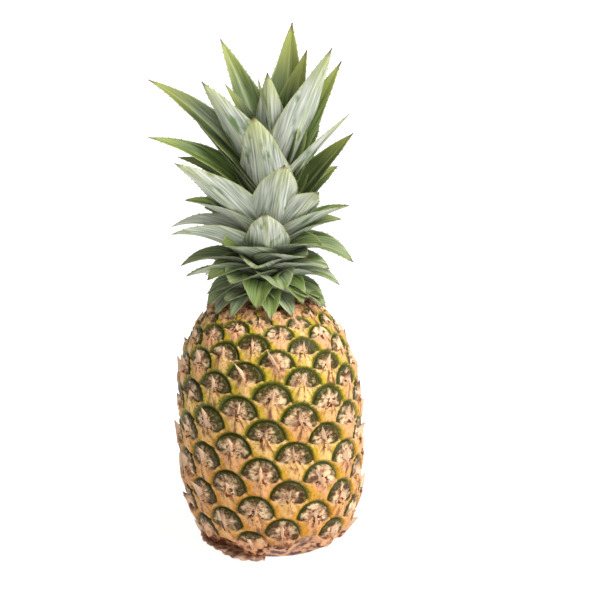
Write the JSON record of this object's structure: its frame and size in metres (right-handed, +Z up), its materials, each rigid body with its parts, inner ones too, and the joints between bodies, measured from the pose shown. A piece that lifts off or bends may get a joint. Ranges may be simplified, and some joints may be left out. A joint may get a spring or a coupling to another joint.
{
  "type": "pineapple",
  "caption": "Whole fresh pineapple standing on its base, a barrel of spiral eyes with beaked bracts under a tall leafy crown, with its cut stem below.",
  "frame": {"origin": "middle of the flat base that the fruit stands on, on the cut face of its stem", "axes": "+Z up from the base to the crown, -Y towards the side that the picture shows, +X to that side's right"},
  "size_m": [0.1431, 0.1277, 0.3445],
  "materials": {
    "rind": "waxy ripe rind, green rims, cream and yellow bracts",
    "leaf": "satin deep green above, silver grey-green bloom below",
    "cut_stem": "dry fibrous cut"
  },
  "bodies": {
    "root": {"fruit": "rind", "crown": "leaf", "cut_stem": "cut_stem"}
  },
  "joints": []
}
